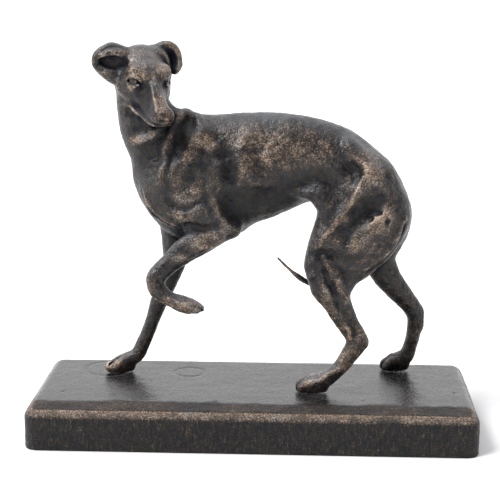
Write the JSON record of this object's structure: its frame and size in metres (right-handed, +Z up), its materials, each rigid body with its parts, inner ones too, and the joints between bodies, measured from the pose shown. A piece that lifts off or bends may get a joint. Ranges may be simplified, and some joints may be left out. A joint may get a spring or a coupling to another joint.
{
  "type": "dog statue",
  "caption": "Cast iron statue of a slender hound with one foreleg raised and its head turned back, standing on a plain rounded slab.",
  "frame": {"origin": "middle of the slab's underside", "axes": "+Z up, the dog faces -X and its left flank faces -Y; the slab's length runs along X and its depth along Y"},
  "size_m": [0.25, 0.096, 0.2193],
  "materials": {
    "base_iron": "dark sand-cast iron, satin top, bronze rub on the upper edges",
    "figure_iron": "dark sand-cast iron with a fine grain and a bronze rub on the raised forms"
  },
  "bodies": {
    "root": {"base": "base_iron", "greyhound": "figure_iron"}
  },
  "joints": []
}
